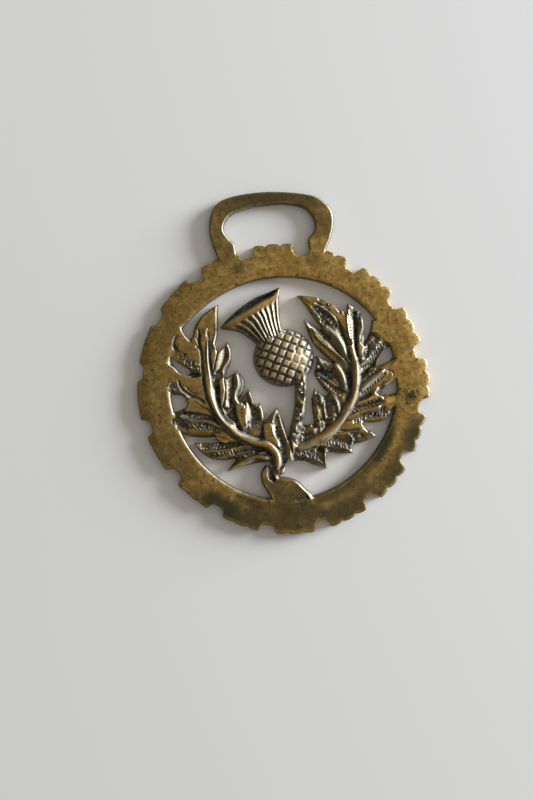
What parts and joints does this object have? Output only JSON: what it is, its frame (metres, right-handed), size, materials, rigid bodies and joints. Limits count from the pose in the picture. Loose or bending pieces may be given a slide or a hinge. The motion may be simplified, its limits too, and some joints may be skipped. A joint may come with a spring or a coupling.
{
  "type": "horse brass",
  "caption": "Cast brass harness pendant: a scalloped ring around a pierced thistle between leafy branches, with a slotted hanger loop for the strap.",
  "frame": {"origin": "centre of the bounding box's bottom, on the flat back", "axes": "+Z out of the relief, away from the flat back; +Y towards the hanger loop; +X to the right seen from the front"},
  "size_m": [0.076, 0.0892, 0.006],
  "materials": {
    "aged_brass": "worn cast brass with dark patina in the recesses"
  },
  "bodies": {
    "root": {"thistle_brass_casting": "aged_brass"}
  },
  "joints": []
}
